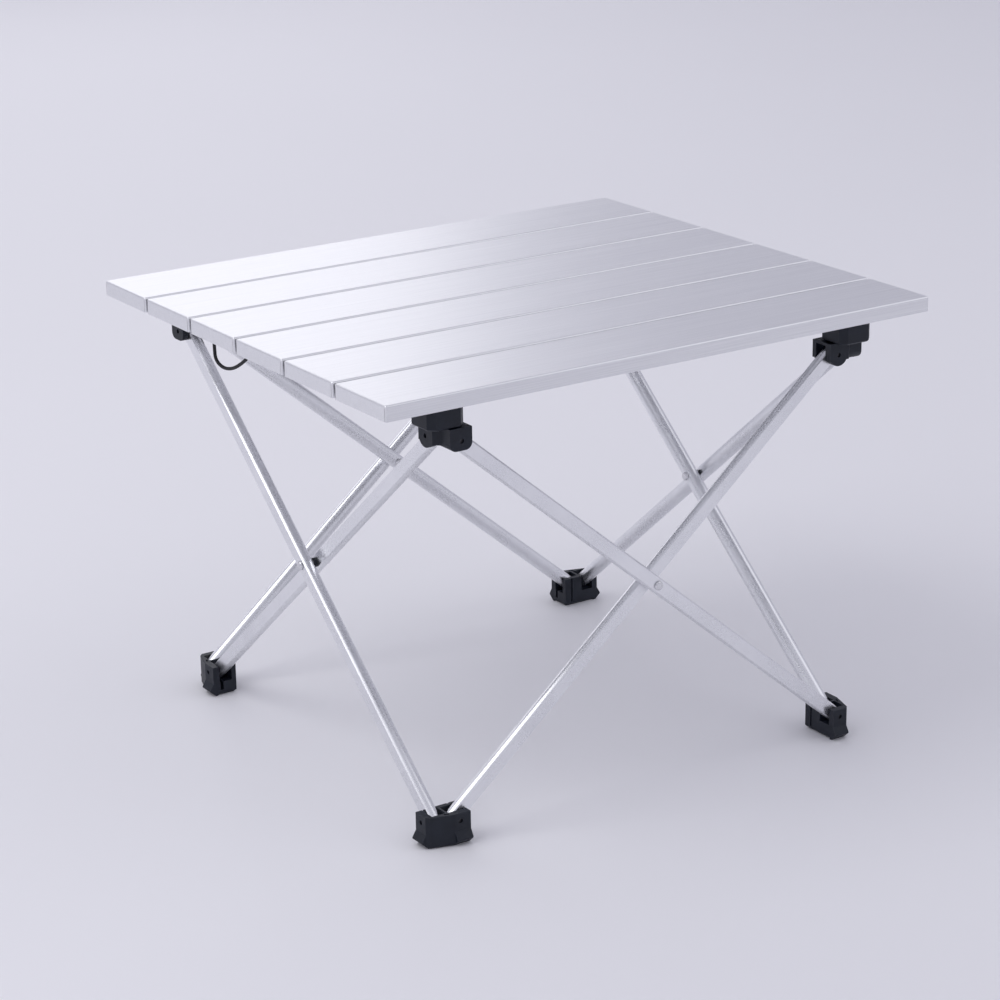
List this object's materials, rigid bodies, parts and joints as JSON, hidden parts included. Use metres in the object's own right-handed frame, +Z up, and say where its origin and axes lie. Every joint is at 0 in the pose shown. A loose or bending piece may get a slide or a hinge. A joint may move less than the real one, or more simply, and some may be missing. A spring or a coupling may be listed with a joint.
{
  "type": "folding side table",
  "caption": "Low folding camp side table: slatted aluminium top clips onto a collapsible scissor frame with plastic corner hubs and feet.",
  "frame": {"origin": "centre of the footprint on the floor, under the middle of the top", "axes": "+X along the slats, to the right seen from the front; +Y across the slats, to the back; +Z up"},
  "size_m": [0.395, 0.345, 0.2875],
  "materials": {
    "slat_aluminium": "brushed along the slat, clear anodised",
    "leg_aluminium": "satin anodised",
    "black_plastic": "moulded nylon, fine texture",
    "pin_steel": "blackened",
    "rivet_steel": "polished dome",
    "black_cord": "braided elastic"
  },
  "bodies": {
    "foot_front_left": {"foot_front_left": "black_plastic", "foot_pins_front_left": "pin_steel"},
    "hub_front_left": {"hub_front_left": "black_plastic", "hub_pins_front_left": "pin_steel"},
    "foot_front_right": {"foot_front_right": "black_plastic", "foot_pins_front_right": "pin_steel"},
    "hub_front_right": {"hub_front_right": "black_plastic", "hub_pins_front_right": "pin_steel"},
    "foot_back_right": {"foot_back_right": "black_plastic", "foot_pins_back_right": "pin_steel"},
    "hub_back_right": {"hub_back_right": "black_plastic", "hub_pins_back_right": "pin_steel"},
    "foot_back_left": {"foot_back_left": "black_plastic", "foot_pins_back_left": "pin_steel"},
    "hub_back_left": {"hub_back_left": "black_plastic", "hub_pins_back_left": "pin_steel"},
    "leg_front_outer": {"leg_front_outer": "leg_aluminium"},
    "leg_front_inner": {"leg_front_inner": "leg_aluminium", "rivet_front": "rivet_steel", "spacer_front": "black_plastic"},
    "leg_right_outer": {"leg_right_outer": "leg_aluminium"},
    "leg_right_inner": {"leg_right_inner": "leg_aluminium", "rivet_right": "rivet_steel", "spacer_right": "black_plastic"},
    "leg_back_outer": {"leg_back_outer": "leg_aluminium"},
    "leg_back_inner": {"leg_back_inner": "leg_aluminium", "rivet_back": "rivet_steel", "spacer_back": "black_plastic"},
    "leg_left_outer": {"leg_left_outer": "leg_aluminium"},
    "leg_left_inner": {"leg_left_inner": "leg_aluminium", "rivet_left": "rivet_steel", "spacer_left": "black_plastic"},
    "slat_1": {"slat_1": "slat_aluminium", "elastic_cord_1": "black_cord", "cord_knots_front": "black_cord", "bracket_screws_front": "pin_steel", "bracket_front_left": "black_plastic", "bracket_front_right": "black_plastic"},
    "slat_2": {"slat_2": "slat_aluminium", "elastic_cord_2": "black_cord"},
    "slat_3": {"slat_3": "slat_aluminium", "elastic_cord_3": "black_cord"},
    "slat_4": {"slat_4": "slat_aluminium", "elastic_cord_4": "black_cord", "slack_cord_loop": "black_cord"},
    "slat_5": {"slat_5": "slat_aluminium", "elastic_cord_5": "black_cord"},
    "slat_6": {"slat_6": "slat_aluminium", "elastic_cord_6": "black_cord", "cord_knots_back": "black_cord", "bracket_screws_back": "pin_steel", "bracket_back_left": "black_plastic", "bracket_back_right": "black_plastic"}
  },
  "joints": [
    {"name": "frame_fold", "type": "hinge", "parent": "foot_front_left", "child": "leg_front_inner", "pos_m": [-0.142, -0.145, 0.0155], "axis": [0, -1, 0], "range_deg": [0, 46.2]},
    {"name": "foot_front_left_to_leg_left_outer", "type": "hinge", "parent": "foot_front_left", "child": "leg_left_outer", "pos_m": [-0.155, -0.142, 0.0155], "axis": [1, 0, 0], "range_deg": [0, 46.2]},
    {"name": "leg_front_inner_to_hub_front_right", "type": "hinge", "parent": "leg_front_inner", "child": "hub_front_right", "pos_m": [0.142, -0.145, 0.2546], "axis": [0, 1, 0], "range_deg": [0, 46.2]},
    {"name": "front_scissor", "type": "hinge", "parent": "leg_front_inner", "child": "leg_front_outer", "pos_m": [0, -0.15, 0.13505], "axis": [0, 1, 0], "range_deg": [0, 92.4]},
    {"name": "leg_front_outer_to_foot_front_right", "type": "hinge", "parent": "leg_front_outer", "child": "foot_front_right", "pos_m": [0.142, -0.155, 0.0155], "axis": [0, -1, 0], "range_deg": [0, 46.2]},
    {"name": "leg_front_outer_to_hub_front_left", "type": "hinge", "parent": "leg_front_outer", "child": "hub_front_left", "pos_m": [-0.142, -0.155, 0.2546], "axis": [0, -1, 0], "range_deg": [0, 46.2]},
    {"name": "leg_left_outer_to_hub_back_left", "type": "hinge", "parent": "leg_left_outer", "child": "hub_back_left", "pos_m": [-0.155, 0.142, 0.2546], "axis": [-1, 0, 0], "range_deg": [0, 46.2]},
    {"name": "left_scissor", "type": "hinge", "parent": "leg_left_outer", "child": "leg_left_inner", "pos_m": [-0.15, 0, 0.13505], "axis": [-1, 0, 0], "range_deg": [0, 92.4]},
    {"name": "leg_left_inner_to_foot_back_left", "type": "hinge", "parent": "leg_left_inner", "child": "foot_back_left", "pos_m": [-0.145, 0.142, 0.0155], "axis": [1, 0, 0], "range_deg": [0, 46.2]},
    {"name": "hub_front_right_to_leg_right_outer", "type": "hinge", "parent": "hub_front_right", "child": "leg_right_outer", "pos_m": [0.155, -0.142, 0.2546], "axis": [-1, 0, 0], "range_deg": [0, 46.2]},
    {"name": "leg_right_outer_to_foot_back_right", "type": "hinge", "parent": "leg_right_outer", "child": "foot_back_right", "pos_m": [0.155, 0.142, 0.0155], "axis": [1, 0, 0], "range_deg": [0, 46.2]},
    {"name": "right_scissor", "type": "hinge", "parent": "leg_right_outer", "child": "leg_right_inner", "pos_m": [0.15, 0, 0.13505], "axis": [1, 0, 0], "range_deg": [0, 92.4]},
    {"name": "leg_right_inner_to_hub_back_right", "type": "hinge", "parent": "leg_right_inner", "child": "hub_back_right", "pos_m": [0.145, 0.142, 0.2546], "axis": [-1, 0, 0], "range_deg": [0, 46.2]},
    {"name": "hub_back_left_to_leg_back_inner", "type": "hinge", "parent": "hub_back_left", "child": "leg_back_inner", "pos_m": [-0.142, 0.145, 0.2546], "axis": [0, 1, 0], "range_deg": [0, 46.2]},
    {"name": "back_scissor", "type": "hinge", "parent": "leg_back_inner", "child": "leg_back_outer", "pos_m": [0, 0.15, 0.13505], "axis": [0, -1, 0], "range_deg": [0, 92.4]},
    {"name": "top_lift", "type": "slide", "parent": "hub_front_left", "child": "slat_1", "axis": [-0.3472, -0.3472, 0.8712], "range_m": [0, 0.27768]},
    {"name": "top_fold", "type": "hinge", "parent": "slat_1", "child": "slat_2", "pos_m": [0, -0.11583, 0.2877], "axis": [1, 0, 0], "range_deg": [0, 180]},
    {"name": "slat_hinge_2_3", "type": "hinge", "parent": "slat_2", "child": "slat_3", "pos_m": [0, -0.05792, 0.2778], "axis": [-1, 0, 0], "range_deg": [0, 180]},
    {"name": "slat_hinge_3_4", "type": "hinge", "parent": "slat_3", "child": "slat_4", "pos_m": [0, 0, 0.2877], "axis": [1, 0, 0], "range_deg": [0, 180]},
    {"name": "slat_hinge_4_5", "type": "hinge", "parent": "slat_4", "child": "slat_5", "pos_m": [0, 0.05792, 0.2778], "axis": [-1, 0, 0], "range_deg": [0, 180], "deforming": ["slack_cord_loop"]},
    {"name": "slat_hinge_5_6", "type": "hinge", "parent": "slat_5", "child": "slat_6", "pos_m": [0, 0.11583, 0.2877], "axis": [1, 0, 0], "range_deg": [0, 180]}
  ],
  "couplings": [
    {"joint": "foot_front_left_to_leg_left_outer", "follows": "frame_fold", "ratio": 1},
    {"joint": "leg_front_inner_to_hub_front_right", "follows": "frame_fold", "ratio": 1},
    {"joint": "front_scissor", "follows": "frame_fold", "ratio": 2},
    {"joint": "leg_front_outer_to_foot_front_right", "follows": "frame_fold", "ratio": 1},
    {"joint": "leg_front_outer_to_hub_front_left", "follows": "frame_fold", "ratio": 1},
    {"joint": "leg_left_outer_to_hub_back_left", "follows": "frame_fold", "ratio": 1},
    {"joint": "left_scissor", "follows": "frame_fold", "ratio": 2},
    {"joint": "leg_left_inner_to_foot_back_left", "follows": "frame_fold", "ratio": 1},
    {"joint": "hub_front_right_to_leg_right_outer", "follows": "frame_fold", "ratio": 1},
    {"joint": "leg_right_outer_to_foot_back_right", "follows": "frame_fold", "ratio": 1},
    {"joint": "right_scissor", "follows": "frame_fold", "ratio": 2},
    {"joint": "leg_right_inner_to_hub_back_right", "follows": "frame_fold", "ratio": 1},
    {"joint": "hub_back_left_to_leg_back_inner", "follows": "frame_fold", "ratio": 1},
    {"joint": "back_scissor", "follows": "frame_fold", "ratio": 2},
    {"joint": "top_lift", "follows": "frame_fold", "m_per_rad": 0.34436},
    {"joint": "slat_hinge_2_3", "follows": "top_fold", "ratio": 1},
    {"joint": "slat_hinge_3_4", "follows": "top_fold", "ratio": 1},
    {"joint": "slat_hinge_4_5", "follows": "top_fold", "ratio": 1},
    {"joint": "slat_hinge_5_6", "follows": "top_fold", "ratio": 1}
  ]
}
